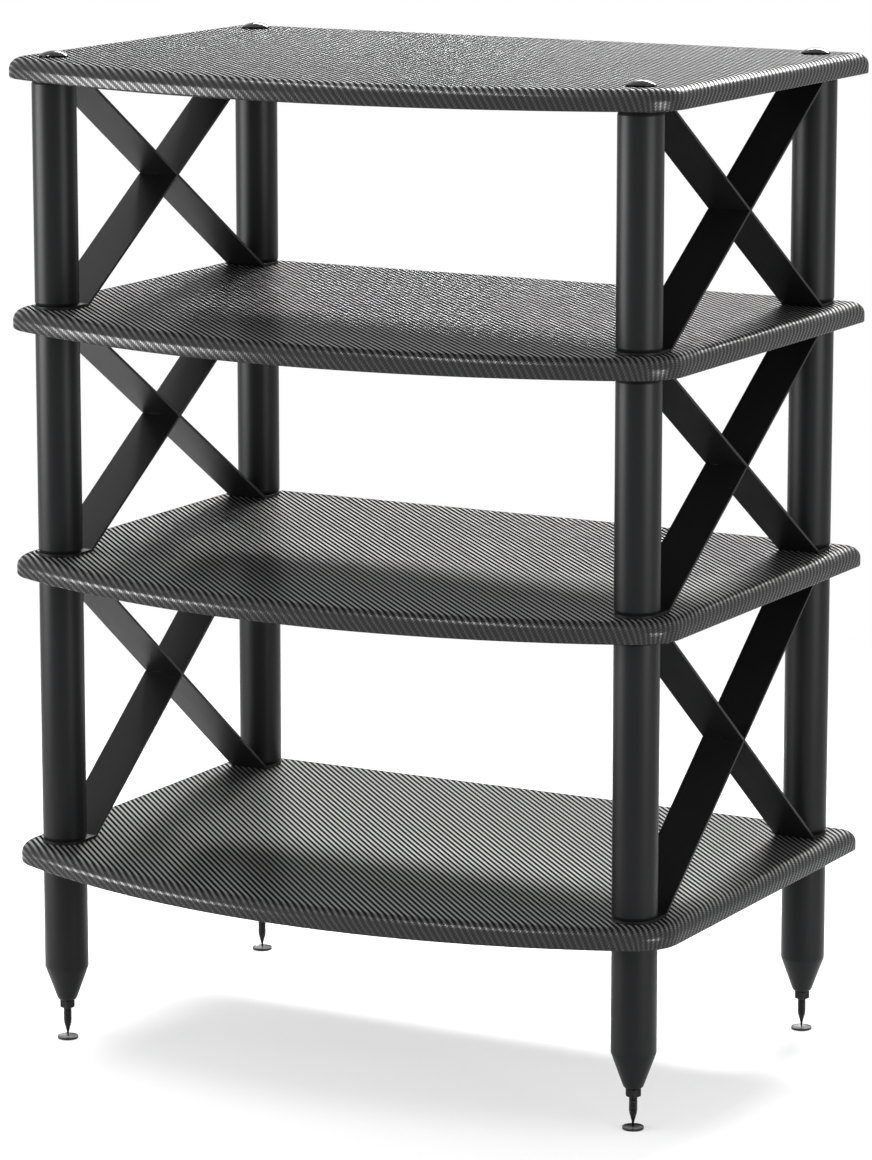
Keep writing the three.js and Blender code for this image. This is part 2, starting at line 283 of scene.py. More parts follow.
def merged(tree, geometry):
    sockets = {"Geometry": geometry, "Distance": MERGE_DISTANCE}
    return tree.add("GeometryNodeMergeByDistance", {}, sockets)


def boolean(tree, operation, sockets):
    settings = {"operation": operation, "solver": "EXACT"}
    return tree.add("GeometryNodeMeshBoolean", settings, sockets)


def moved(tree, geometry, **sockets):
    return tree.add("GeometryNodeSetPosition", {}, {"Geometry": geometry, **sockets})


def vector_sum(tree, first, second):
    return tree.add("ShaderNodeVectorMath", {"operation": "ADD"}, {0: first, 1: second})


def grow(name, tree, base, sizes):
    piece = bpy.data.objects.new(name, base)
    bpy.context.scene.collection.objects.link(piece)
    modifier = piece.modifiers.new(name, "NODES")
    modifier.node_group = tree.nodes
    for socket in tree.nodes.interface.items_tree:
        if socket.in_out == "INPUT" and socket.name in sizes:
            modifier[socket.identifier] = sizes[socket.name]
    graph = bpy.context.evaluated_depsgraph_get()
    mesh = bpy.data.meshes.new_from_object(
        piece.evaluated_get(graph), preserve_all_data_layers=True, depsgraph=graph
    )
    piece.modifiers.remove(modifier)
    piece.data = mesh
    shell = bmesh.new()
    shell.from_mesh(mesh)
    bmesh.ops.recalc_face_normals(shell, faces=shell.faces)
    loose = sum(not edge.is_manifold for edge in shell.edges)
    shell.to_mesh(mesh)
    shell.free()
    mesh.shade_smooth()
    mesh.set_sharp_from_angle(angle=math.radians(SHARP_FROM))
    for value in sizes.values():
        if isinstance(value, bpy.types.Object):
            bpy.data.objects.remove(value)
    triangles = sum(len(face.vertices) - 2 for face in mesh.polygons)
    print(name, triangles, "triangles,", loose, "open edges")
    return piece


def settle(piece, body, slot, *nodes):
    """Says which body carries the piece and which CAD nodes it stands for, and hides those nodes.
    The slot, the finish's name, is not used.
    """
    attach(piece, body)
    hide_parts(*nodes)


# %% [markdown]
# ## Finishes: a shared start
# Each finish is one Principled shader whose varying inputs come from a formula or a noise. Object
# coordinates are in metres, so a noise scale of 1000 means grains of about a millimetre.


# %% A finish and its noises
def finish_tree(name, **constants):
    material = bpy.data.materials.new(name)
    material.use_nodes = True
    material.node_tree.nodes.clear()
    tree = Tree(material.node_tree)
    tree.place = tree.add("ShaderNodeTexCoord", {}, {}, "Object")
    tree.constants = constants
    return material, tree


def surface(tree, **sockets):
    shader = tree.add("ShaderNodeBsdfPrincipled", {}, {**tree.constants, **sockets})
    tree.add("ShaderNodeOutputMaterial", {}, {"Surface": shader})


def noise(tree, scale, detail=2.0, place=None, stretch=None):
    vector = place or tree.place
    if stretch:
        vector = tree.add("ShaderNodeMapping", {}, {"Vector": vector, "Scale": stretch})
    return tree.add("ShaderNodeTexNoise", {}, {"Vector": vector, "Scale": scale, "Detail": detail})


def tint(tree, dark, light, share):
    """A colour between two others. A Mix node's colour sockets are numbers 6 and 7 in, 2 out."""
    sockets = {0: share, 6: (*dark, 1), 7: (*light, 1)}
    return tree.add("ShaderNodeMix", {"data_type": "RGBA"}, sockets, take=2)


def relief(tree, height, depth, strength=1.0):
    sockets = {"Height": height, "Distance": depth, "Strength": strength}
    return tree.add("ShaderNodeBump", {}, sockets)


# %% [markdown]
# ## The woven film
# The boards wear a film with a two-over, two-under twill, whose ribs run slantwise. Tow pitch is
# 1.8 mm: that gives the ribs the 5.1 mm spacing measured on the boards. The tows along Y are
# lighter, and at the top of each float they are a dark metal under a clear coat that mirrors the
# lamps: their lightness is partly the twill's two tones and partly painted sheen, and the top of
# each float carries a painted highlight. The tows along X between them are matt and nearly black.
# A formula on the board's own unrolled map makes it, because the real film runs on over the
# rounded edge without a seam. Over the rounded edge and the front face both tows are pulled to one
# dark grey, a painted reflection of the clear coat, and a clear coat stays on all of it, thickest
# at the tops of the floats, which shows small highlights.

# %% Twill
TOW = 0.0018
FILM_RELIEF = 0.00025
# BRIGHT_TOW, the light end of the tow colour, is partly the twill's lighter tows and partly
# painted sheen and painted highlight.
DARK_TOW, BRIGHT_TOW = (0.003, 0.003, 0.003), (0.296, 0.298, 0.3)
# The one tone that the rounded edge and the front face are pulled to: painted reflection of the
# clear coat.
EDGE_REFLECTION_TONE = 0.065
FILM_MAP, FILM_STRETCH = "film", "stretch"
FILM_SHINE = {"Specular IOR Level": 0.0, "Coat Roughness": 0.24, "Coat IOR": 1.5}


def woven_film():
    material, tree = finish_tree("woven_film", **FILM_SHINE)
    plan = tree.add("ShaderNodeUVMap", {"uv_map": FILM_MAP})
    x, y = tree.add("ShaderNodeSeparateXYZ", {}, {0: plan}, ("X", "Y"))
    u, v = x / TOW, y / TOW
    column, row = u.floor(), v.floor()
    length_y = (v + column) % 4 / 2
    length_x = (u + row) % 4 / 2 - 1
    bright = length_y < 1

    def bulge(share):
        return (4 * share * (1 - share)).max(0.0)

    over_y = bulge(u - column) ** 0.5 * 0.5 + bulge(length_y) * 0.5
    over_x = bulge(v - row) ** 0.5 * 0.5 + bulge(length_x) * 0.5
    height = bright * over_y + (1 - bright) * over_x
    fibres_y = noise(tree, 1.0, 1.0, plan, (9000, 500, 1))
    fibres_x = noise(tree, 1.0, 1.0, plan, (500, 9000, 1))
    fibres = bright * fibres_y + (1 - bright) * fibres_x
    # The raised part of each tow along Y is made lighter: partly the twill's two tones, partly
    # painted sheen. The top of each float gets a painted highlight, with more metal and clear
    # coat.
    tow_tone_and_painted_sheen = bright * (height.min(0.5) / 0.5) ** 0.5
    painted_crest_highlight = bright * bulge(u - column) ** 0.5 * bulge(length_y)
    # stretch grows from 0 on the flat top to 1 down the rounded edge; there the colour is pulled
    # to one dark grey, a painted reflection of the clear coat.
    stretch = tree.add("ShaderNodeAttribute", {"attribute_name": FILM_STRETCH}, {}, "Fac")
    weave_and_painted_highlight = (0.2 * tow_tone_and_painted_sheen + 0.8 * painted_crest_highlight) * (0.7 + 0.3 * fibres)
    tone = weave_and_painted_highlight + stretch * 0.95 * (EDGE_REFLECTION_TONE - weave_and_painted_highlight)
    coat = 0.03 + 0.05 * tow_tone_and_painted_sheen + painted_crest_highlight * (0.1 + 0.15 * fibres)
    surface(
        tree,
        **{
            "Base Color": tint(tree, DARK_TOW, BRIGHT_TOW, tone),
            "Metallic": 0.1 * tow_tone_and_painted_sheen + 0.35 * painted_crest_highlight,
            "Roughness": 0.55 - 0.27 * tow_tone_and_painted_sheen + 0.06 * fibres,
            "Coat Weight": (coat + 0.7 * stretch * painted_crest_highlight).max(0.2 * stretch),
            "Normal": relief(tree, height + 0.1 * fibres, FILM_RELIEF),
        },
    )
    return material


FILM = woven_film()
print("made", FILM.name)

# %% [markdown]
# ## Boards
# A board is one closed shape: an outline with a bowed front and rounded corners, and an edge that
# rolls over at the top. The tree lays a grid over both, one column for each point of the outline
# and one row for each point of the edge, and fills the two flat faces. It also writes the film's
# map, which unrolls the edge outward from the flat top, and a share that grows from 0 at the flat
# top to 1 a little way down the rounded edge, where the film paints its edge reflection.


# %% The outline and the edge
BOW_STEPS, FRONT_STEPS, BACK_STEPS = 96, 14, 10
TOP_EDGE_STEPS, BOTTOM_EDGE_STEPS = 20, 4
RIGHT_ANGLE = math.pi / 2


def swing(x, y, radius, start, end, steps):
    """Points of an arc, each with the direction that faces out of the board."""
    for step in range(steps + 1):
        angle = start + (end - start) * step / steps
        away = (math.cos(angle), math.sin(angle))
        yield (x + radius * away[0], y + radius * away[1], 0), (*away, 0)


def board_outline(half_width, half_depth):
    bow_radius = (half_width**2 + BOARD_BOW**2) / (2 * BOARD_BOW)
    bow_y = bow_radius - half_depth
    front_x = half_width - FRONT_CORNER
    front_y = bow_y - math.sqrt((bow_radius - FRONT_CORNER) ** 2 - front_x**2)
    reach = math.atan2(front_x, bow_y - front_y)
    left, right = -RIGHT_ANGLE - reach, -RIGHT_ANGLE + reach
    back_x, back_y = half_width - BACK_CORNER, half_depth - BACK_CORNER
    bow = list(swing(0, bow_y, bow_radius, left, right, BOW_STEPS))
    return [
        *swing(-front_x, front_y, FRONT_CORNER, -math.pi, left, FRONT_STEPS),
        *bow[1:-1],
        *swing(front_x, front_y, FRONT_CORNER, right, 0, FRONT_STEPS),
        *swing(back_x, back_y, BACK_CORNER, 0, RIGHT_ANGLE, BACK_STEPS),
        *swing(-back_x, back_y, BACK_CORNER, RIGHT_ANGLE, math.pi, BACK_STEPS),
    ]


def board_edge(thickness):
    """Inset, distance along the surface and height of each row, from the top face down."""
    rows, along = [], 0.0
    for step in range(TOP_EDGE_STEPS + 1):
        angle = RIGHT_ANGLE * step / TOP_EDGE_STEPS
        inset = TOP_EDGE_INSET * (1 - math.sin(angle))
        height = thickness - TOP_EDGE_DROP * (1 - math.cos(angle))
        if rows:
            along += math.hypot(rows[-1][0] - inset, rows[-1][2] - height)
        rows.append((inset, along, height))
    down = along + thickness - TOP_EDGE_DROP
    for step in range(BOTTOM_EDGE_STEPS + 1):
        angle = RIGHT_ANGLE * step / BOTTOM_EDGE_STEPS
        fall = BOTTOM_EDGE * (1 - math.sin(angle))
        along = down - BOTTOM_EDGE * (1 - angle)
        rows.append((BOTTOM_EDGE * (1 - math.cos(angle)), along, fall))
    return rows


# %% The board's tree
def board_tree():
    given = {
        "Outline": object,
        "Edge": object,
        "Columns": int,
        "Rows": int,
        "Top Edge": float,
        "Thickness": float,
        "Bottom Edge": float,
        "Film": str,
    }
    tree = geometry_tree("bowed_board", given)
    points, outline, edge, columns, rows, top_edge, thickness, bottom_edge, film = tree.given
    ring, levels = points_of(tree, outline), points_of(tree, edge)
    spot, outward = tree.add("GeometryNodeInputPosition"), named(tree, "outward")
    sheet, column, row = lattice(tree, columns, rows, True)

    def step(point, direction, distance):
        """A point moved some way along a direction."""
        sockets = {0: direction, "Scale": distance}
        far = tree.add("ShaderNodeVectorMath", {"operation": "SCALE"}, sockets)
        return vector_sum(tree, point, far)

    def stored(geometry, kind, label, value):
        settings = {"data_type": kind, "domain": "CORNER"}
        sockets = {"Geometry": geometry, "Name": label, "Value": value}
        return tree.add("GeometryNodeStoreNamedAttribute", settings, sockets)

    at, away = sample(tree, ring, spot, column), sample(tree, ring, outward, column)
    inset, along, height = parts(tree, sample(tree, levels, spot, row))
    place = vector_sum(tree, step(at, away, -1 * inset), joined(tree, z=height))
    band = stored(sheet, "FLOAT2", FILM_MAP, step(at, away, along - top_edge))
    # How far a point lies from the flat top onto the edge, from 0 to 1: the film paints its edge
    # reflection there.
    band = stored(band, "FLOAT", FILM_STRETCH, (along / top_edge).min(1.0))
    band = moved(tree, band, Position=place)
    line = tree.add("GeometryNodeMeshToCurve", {}, {"Mesh": ring})
    shells = [band]
    for inward, level in ((top_edge, thickness), (bottom_edge, 0.0)):
        rim = moved(tree, line, Position=step(spot, outward, -1 * inward))
        face = tree.add("GeometryNodeFillCurve", {"mode": "NGONS"}, {"Curve": rim})
        face = moved(tree, face, Offset=joined(tree, z=level))
        shells.append(stored(face, "FLOAT2", FILM_MAP, spot))
    whole = tree.add("GeometryNodeJoinGeometry", {}, {"Geometry": shells})
    deliver(tree, points, merged(tree, whole), film)
    return tree


# %% Four boards
BOARD = board_tree()
for shelf in SHELVES:
    low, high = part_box(shelf)
    thickness = high[2] - low[2]
    outline = board_outline((high[0] - low[0]) / 2, (high[1] - low[1]) / 2)
    places, outwards = zip(*outline)
    ends = [(i, (i + 1) % len(places)) for i in range(len(places))]
    rows = board_edge(thickness)
    sizes = {
        "Outline": guide("outline", places, ends, outward=outwards),
        "Edge": guide("edge", rows),
        "Columns": len(places),
        "Rows": len(rows),
        "Top Edge": TOP_EDGE_INSET,
        "Thickness": thickness,
        "Bottom Edge": BOTTOM_EDGE,
        "Film": FILM,
    }
    board = grow(f"board_{shelf}", BOARD, dots("at", [(0, 0, low[2])]), sizes)
    settle(board, "rack", "twill_board", shelf)

# %% [markdown]
# ## Powder coat
# Posts and legs are steel tube with a fine satin powder coat, which is faintly pebbled, like an
# orange's skin at a tenth of the size. The strips get the same powder in a flatter black. The
# screws' domes are gloss black, and the feet's small parts are blackened steel on plated discs.


# %% Finishes for the metal parts
PEBBLES, CLOUDS, WEAR, GRAIN = 2600, 14, 120, 900
PEBBLE_RELIEF, GRAIN_RELIEF = 0.00003, 0.00001


def powder_coat(name, dark, light, rough, shine):
    material, tree = finish_tree(name, **{"Specular IOR Level": shine})
    pebbles, clouds = noise(tree, PEBBLES, 2.0), noise(tree, CLOUDS, 3.0)
    surface(
        tree,
        **{
            "Base Color": tint(tree, dark, light, clouds),
            "Roughness": rough + 0.08 * (pebbles - 0.5) + 0.05 * (clouds - 0.5),
            "Normal": relief(tree, pebbles, PEBBLE_RELIEF, 0.6),
        },
    )
    return material


def dark_metal(name, dark, light, rough, metallic, shine=0.5):
    material, tree = finish_tree(name, **{"Specular IOR Level": shine})
    wear, grain = noise(tree, WEAR, 4.0), noise(tree, GRAIN, 2.0)
    surface(
        tree,
        **{
            "Base Color": tint(tree, dark, light, wear),
            "Metallic": metallic,
            "Roughness": rough + 0.12 * (wear - 0.5),
            "Normal": relief(tree, grain, GRAIN_RELIEF, 0.5),
        },
    )
    return material


POST_COAT = powder_coat(
    "satin_post_coat", (0.004, 0.0042, 0.0048), (0.007, 0.0073, 0.0082), rough=0.4, shine=0.16
)
STRIP_COAT = powder_coat(
    "matt_strip_coat", (0.004, 0.004, 0.0041), (0.006, 0.006, 0.0061), rough=0.45, shine=0.14
)
CAP_GLOSS = dark_metal(
    "cap_gloss_black", (0.002, 0.002, 0.002), (0.004, 0.004, 0.004), 0.08, metallic=0.0, shine=0.22
)
BLACKENED = dark_metal(
    "blackened_steel", (0.004, 0.004, 0.0045), (0.012, 0.012, 0.013), 0.36, metallic=0.5, shine=0.3
)
DISC_PLATE = dark_metal(
    "disc_plate", (0.01, 0.01, 0.011), (0.03, 0.03, 0.032), 0.3, metallic=0.35, shine=0.25
)
ZINC = dark_metal("zinc_plate", (0.35, 0.36, 0.37), (0.5, 0.51, 0.52), 0.35, metallic=1.0)
METAL_FINISHES = (POST_COAT, STRIP_COAT, CAP_GLOSS, BLACKENED, DISC_PLATE, ZINC)
print("made", [finish.name for finish in METAL_FINISHES])

# %% [markdown]
# ## Turned parts
# Posts, legs, domed screws, spikes and discs are all turned on a lathe: a profile swung round an
# axis. In the tree each column of a grid is one step of the turn and each row one point of the
# profile.


# %% A lathe
ROUND_SIDES, CONE_SIDES, THIN_SIDES, NUT_SIDES = 72, 48, 32, 6
SIDE_PER_ROUND = 2.2  # a rounding takes up less than half of each line beside it


def lathe(tree, outline, sides, stations):
    sheet, column, row = lattice(tree, sides, stations, True)
    spot = tree.add("GeometryNodeInputPosition")
    radius, _, height = parts(tree, sample(tree, points_of(tree, outline), spot, row))
    angle = column * (2 * math.pi) / sides
    place = joined(tree, radius * angle.cos(), radius * angle.sin(), height)
    return merged(tree, moved(tree, sheet, Position=place))


def turned_tree():
    given = {"Profile": object, "Sides": int, "Stations": int, "Finish": str}
    tree = geometry_tree("turned_part", given)
    points, outline, sides, stations, material = tree.given
    deliver(tree, points, lathe(tree, outline, sides, stations), material)
    return tree


TURNED = turned_tree()


def profile(name, stations):
    return guide(name, [(radius, 0, height) for radius, height in stations])


def rounded(stations, radius, steps=4):
    """A profile with each of its inner corners rounded by short straight steps."""
    line = [Vector(point) for point in stations]
    smooth = [tuple(line[0])]
    for before, corner, after in zip(line, line[1:], line[2:]):
        back, on = before - corner, after - corner
        reach = min(radius, back.length / SIDE_PER_ROUND, on.length / SIDE_PER_ROUND)
        start, end = corner + back.normalized() * reach, corner + on.normalized() * reach
        for step in range(steps + 1):
            share = step / steps
            through = 2 * share * (1 - share) * corner
            smooth.append(tuple((1 - share) ** 2 * start + through + share**2 * end))
    return [*smooth, tuple(line[-1])]


def turn(name, stations, places, finish):
    sizes = {
        "Profile": profile(name + "_profile", stations),
        "Sides": ROUND_SIDES,
        "Stations": len(stations),
        "Finish": finish,
    }
    return grow(name, TURNED, dots("at", places), sizes)


def seats(nodes):
    """Where four nodes stand: each corner's axis, at the height of the node's foot."""
    return [(*AXES[corner], floor_of(node)) for corner, node in zip(CORNERS, nodes)]


# %% [markdown]
# ## Posts
# Each bay stands on four tubes, 40 mm across, which narrow a little over their last 3 mm: that is
# the dark line at the ends of each post. A plate is welded into each end, so a post here is a
# closed shape with a shallow ring where plate and tube meet.

# %% Twelve posts
for bay in BAYS:
    nodes = [f"post_{bay}_{corner}" for corner in CORNERS]
    length = height_of(nodes[0])
    edge, weld = POST_RADIUS - END_INSET, POST_RADIUS - POST_WALL
    groove = [(weld - WELD_HALF, 0), (weld, WELD_DEPTH), (weld + WELD_HALF, 0)]
    half = [(0, 0), *groove, (edge, 0), (POST_RADIUS, END_RISE)]
    stations = half + [(radius, length - height) for radius, height in reversed(half)]
    posts = turn(f"posts_{bay}", rounded(stations, END_ROUND, 2), seats(nodes), POST_COAT)
    settle(posts, "rack", "post_powder_coat", *nodes)

# %% [markdown]
# ## Legs
# The legs are the same tube, turned down to a cone whose nose is rounded where the lock nut sits.

# %% Four legs
nodes = [f"leg_{corner}" for corner in CORNERS]
length = height_of(nodes[0])
stations = [
    (0, 0),
    (LEG_NOSE - LEG_CHAMFER, 0),
    (LEG_NOSE, LEG_CHAMFER),
    (POST_RADIUS, LEG_CONE),
    (POST_RADIUS, length - LEG_BEVEL),
    (POST_RADIUS - LEG_BEVEL, length),
    (0, length),
]
legs = turn("legs", rounded(stations, LEG_ROUND), seats(nodes), POST_COAT)
settle(legs, "rack", "post_powder_coat", *nodes)

# %% [markdown]
# ## Domed screws
# Four low domes hold the top board. Each is a turned head on a shank that goes down into its
# post.

# %% Four domed screws
nodes = [f"cap_screw_{corner}" for corner in CORNERS]
top_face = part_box("top_shelf")[1][2]
shank = top_face - floor_of(nodes[0])
dome = (SCREW_HEAD**2 + SCREW_RISE**2) / (2 * SCREW_RISE)
spread = math.asin(SCREW_HEAD / dome)
crown = []
for step in range(DOME_STEPS + 1):
    angle = spread * (1 - step / DOME_STEPS)
    fall = dome * (1 - math.cos(angle))
    crown.append((dome * math.sin(angle), SCREW_FOOT + SCREW_RISE - fall))
stations = [
    (0, -shank),
    (SHANK_RADIUS, -shank),
    (SHANK_RADIUS, 0),
    (SCREW_HEAD - SCREW_BEVEL, 0),
    (SCREW_HEAD, SCREW_BEVEL),
    (SCREW_HEAD, SCREW_FOOT - SCREW_LIP),
    *crown,
]
places = [(*AXES[corner], top_face) for corner in CORNERS]
screws = turn("domed_screws", stations, places, CAP_GLOSS)
settle(screws, "rack", "gloss_black_cap", *nodes)

# %% [markdown]
# ## Lock nuts
# A nut is a six-sided bar with its corners turned off to a shallow cone at both ends. The tree
# makes both bodies with the lathe, keeps what they share, and drills the hole.

# %% Four lock nuts
ROD_STATIONS, BAR_BEYOND, BORE_FROM, BORE_TO = 4, 0.001, -0.01, 0.02


def nut_tree():
    given = {"Bar": object, "Cones": object, "Bore": object, "Stations": int, "Finish": str}
    tree = geometry_tree("lock_nut", given)
    points, bar, cones, bore, stations, material = tree.given
    hexagon = lathe(tree, bar, NUT_SIDES, ROD_STATIONS)
    turned = lathe(tree, cones, CONE_SIDES, stations)
    both = boolean(tree, "INTERSECT", {"Mesh": [hexagon, turned]})
    hole = lathe(tree, bore, THIN_SIDES, ROD_STATIONS)
    deliver(tree, points, boolean(tree, "DIFFERENCE", {"Mesh 1": both, "Mesh 2": hole}), material)
    return tree


def rod(name, radius, low, high):
    return profile(name, [(0, low), (radius, low), (radius, high), (0, high)])


nodes = [f"lock_nut_{corner}" for corner in CORNERS]
tall, across = height_of(nodes[0]), NUT_FLATS / math.sqrt(3)
cones = [
    (0, 0),
    (NUT_FACE, 0),
    (across, NUT_CHAMFER),
    (across, tall - NUT_CHAMFER),
    (NUT_FACE, tall),
    (0, tall),
]
sizes = {
    "Bar": rod("bar", across, -BAR_BEYOND, tall + BAR_BEYOND),
    "Cones": profile("cones", cones),
    "Bore": rod("bore", NUT_BORE, BORE_FROM, BORE_TO),
    "Stations": len(cones),
    "Finish": BLACKENED,
}
nuts = grow("lock_nuts", nut_tree(), dots("at", seats(nodes)), sizes)
settle(nuts, "rack", "black_fastener", *nodes)

# %% [markdown]
# ## Spikes
# A spike is a screw with a tapered point. Its thread really is a helix, a diamond bar that
# follows a spiral at 1.25 mm a turn, because that is what moves it up and down when it is turned.

# %% Four spikes
THREAD_STEPS, DIAMOND = 24, 4  # steps in a turn, sides of the bar


def spike_tree():
    given = {
        "Core": object,
        "Stations": int,
        "Thread Radius": float,
        "Thread Start": float,
        "Turns": float,
        "Pitch": float,
        "Finish": str,
    }
    tree = geometry_tree("threaded_spike", given)
    points, core, stations, radius, start, turns, pitch, material = tree.given
    helix = {
        "Resolution": THREAD_STEPS,
        "Rotations": turns,
        "Start Radius": radius,
        "End Radius": radius,
        "Height": turns * pitch,
    }
    spiral = tree.add("GeometryNodeCurveSpiral", {}, helix)
    lifted = {"Geometry": spiral, "Translation": joined(tree, z=start)}
    spiral = tree.add("GeometryNodeTransform", {}, lifted)
    bar = {"Resolution": DIAMOND, "Radius": pitch * THREAD_SHARE}
    diamond = tree.add("GeometryNodeCurvePrimitiveCircle", {}, bar)
    swept = {"Curve": spiral, "Profile Curve": diamond, "Fill Caps": True}
    thread = tree.add("GeometryNodeCurveToMesh", {}, swept)
    both = {"Geometry": [lathe(tree, core, THIN_SIDES, stations), thread]}
    deliver(tree, points, tree.add("GeometryNodeJoinGeometry", {}, both), material)
    return tree


SPIKE = spike_tree()
for corner in CORNERS:
    node = f"spike_{corner}"
    top, place = height_of(node), (*AXES[corner], floor_of(node))
    needle = [(0, 0), (NEEDLE_TIP, 0), (NEEDLE_TOP, NEEDLE_HEIGHT)]
    stem = [(SPIKE_CORE, SPIKE_TAPER), (SPIKE_CORE, top), (0, top)]
    stations = rounded(needle + stem, SPIKE_ROUND)
    sizes = {
        "Core": profile("core", stations),
        "Stations": len(stations),
        "Thread Radius": THREAD_RADIUS,
        "Thread Start": THREAD_START,
        "Turns": (top - THREAD_START - THREAD_TOP_GAP) / THREAD_PITCH,
        "Pitch": THREAD_PITCH,
        "Finish": BLACKENED,
    }
    spike = grow(node.replace("spike", "point"), SPIKE, dots("at", [place]), sizes)
    settle(spike, node, "black_fastener", node)

# %% [markdown]
# ## Floor discs
# Each point stands in a shallow plated dish, which keeps it from marking the floor.

# %% Four discs
stations = rounded([(0, 0), (DISC_RADIUS, 0), (DISC_RADIUS, DISC_HEIGHT), *DISH], DISC_ROUND)
for corner in CORNERS:
    node = f"floor_disc_{corner}"
    place = (*AXES[corner], floor_of(node))
    disc = turn(f"dish_{corner}", stations, [place], DISC_PLATE)
    settle(disc, f"disc_{corner}", "dark_nickel_disc", node)

# %% [markdown]
# ## Crossed strips
# A strip is flat steel, folded at both ends into a tab as wide as a post, with a round end about
# the post's axis. Its side view is a closed loop, and the tree sweeps that loop across the width.
# A slot to the middle lets the other strip of the pair pass through.


# %% The side view of a strip
BEND_STEPS = 8


def strip_line(span, rise):
    up = math.copysign(1, rise)
    bend_at = POST_RADIUS + STRIP_BEND_BEYOND
    slope = math.atan2(abs(rise), span - 2 * bend_at)
    radius = STRIP_BEND_INNER + STRIP_THICKNESS / 2
    reach = radius * math.tan(slope / 2)
    bend = []
    for step in range(BEND_STEPS + 1):
        angle = slope * step / BEND_STEPS
        along = bend_at - reach + radius * math.sin(angle)
        bend.append((along, radius * (1 - math.cos(angle)), angle))
    first = [(0, 0, 0), *bend]
    last = [(span - y, abs(rise) - z, angle) for y, z, angle in reversed(first)]
    return [(y, up * z, up * angle) for y, z, angle in first + last], slope * up


def strip_loop(span, rise):
    """The loop's points and, for each, the point of the strip's middle layer beside it."""
    line, slope = strip_line(span, rise)
    ends = [-1] + [0] * (len(line) - 2) + [1]
    loop, core = [], []
    for side, order in ((-1, 1), (1, -1)):
        for (y, z, angle), end in list(zip(line, ends))[::order]:
            half = side * STRIP_THICKNESS / 2
            loop.append((end, y - half * math.sin(angle), z + half * math.cos(angle)))
            core.append((0, y - end * STRIP_THICKNESS / 2, z))
    return loop, core, slope


# %% The strip's tree
ACROSS_STEPS = 26


def strip_tree():
    given = {
        "Loop": object,
        "Points On Loop": int,
        "Half Width": float,
        "Middle": object,
        "Slot Tilt": float,
        "Slot Side": float,
        "Finish": str,
    }
    tree = geometry_tree("folded_strip", given)
    points, loop, count, half, centre, tilt, side, material = tree.given
    ring, spot = points_of(tree, loop), tree.add("GeometryNodeInputPosition")
    # one more row at each side closes the shell: its points lie on the middle layer
    sheet, column, row = lattice(tree, count, ACROSS_STEPS + 3, True)
    share = ((row - 1) / ACROSS_STEPS).max(0.0).min(1.0)
    angle = (share - 0.5) * math.pi
    flat = (row < 0.5) + (row > ACROSS_STEPS + 1.5)
    skin = sample(tree, ring, spot, column)
    core = sample(tree, ring, named(tree, "core"), column)
    layer = tree.add("ShaderNodeMix", {"data_type": "VECTOR"}, {0: flat, 4: skin, 5: core}, take=1)
    end, y, z = parts(tree, layer)
    place = joined(tree, half * angle.sin(), y + end * half * angle.cos(), z)
    strip = merged(tree, moved(tree, sheet, Position=place))
    room = STRIP_THICKNESS + 2 * SLOT_ROOM
    block = tree.add("GeometryNodeMeshCube", {}, {"Size": (SLOT_WIDTH, SLOT_REACH, room)})
    tilted = {"Geometry": block, "Rotation": joined(tree, x=tilt)}
    block = tree.add("GeometryNodeTransform", {}, tilted)
    at = sample(tree, points_of(tree, centre), spot, 0)
    beside = joined(tree, x=side * ((SLOT_WIDTH - SLOT_ROOM) / 2))
    block = moved(tree, block, Offset=vector_sum(tree, at, beside))
    cut = boolean(tree, "DIFFERENCE", {"Mesh 1": strip, "Mesh 2": block})
    deliver(tree, points, cut, material)
    return tree


# %% Twelve strips
STRIP = strip_tree()
HANDS = ("left", "right")
span = AXES["back_left"].y - AXES["front_left"].y
for bay in BAYS:
    for way, up, side in (("rising", 1, -1), ("falling", -1, 1)):
        nodes = [f"strip_{way}_{bay}_{hand}" for hand in HANDS]
        rise = up * (height_of(nodes[0]) - STRIP_THICKNESS)
        loop, core, slope = strip_loop(span, rise)
        sizes = {
            "Loop": guide("loop", loop, core=core),
            "Points On Loop": len(loop),
            "Half Width": POST_RADIUS,
            "Middle": guide("centre", [(0, span / 2, rise / 2)]),
            "Slot Tilt": -slope,
            "Slot Side": float(side),
            "Finish": STRIP_COAT,
        }
        start = floor_of(nodes[0]) + STRIP_THICKNESS / 2 - min(rise, 0)
        places = [(*AXES[f"front_{hand}"], start) for hand in HANDS]
        strips = grow(f"strips_{way}_{bay}", STRIP, dots("at", places), sizes)
        edges = strips.modifiers.new("worn_edges", "BEVEL")
        edges.width, edges.segments = WORN_WIDTH, WORN_STEPS
        edges.limit_method, edges.angle_limit = "ANGLE", math.radians(WORN_FROM)
        settle(strips, "rack", "strip_powder_coat", *nodes)

# %% [markdown]
# ## Studs
# The studs that join post to post are hidden inside the boards and tubes. Their CAD shapes stay,
# in a plated finish.

# %% Studs
for name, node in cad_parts.items():
    if name.startswith("stud_"):
        node.data.materials.clear()
        node.data.materials.append(ZINC)

# %% [markdown]
# ## Studio
# A plain floor, softboxes at the left, at the right and above, and one behind. The world is white
# to the camera and to reflections, and a softer grey as a light, so the finishes mirror a white
# room without being washed out by it. The softbox behind makes the ribs of the film shine. It
# looks steeply down through a grid, which keeps its light narrow, so each board shades the front
# of the one below it and the top board gets no more light than the others.

# %% Floor
FLOOR_REACH, FADE_START, FADE_LENGTH = 9, 0.7, 1.3
WHITE = (1, 1, 1, 1)


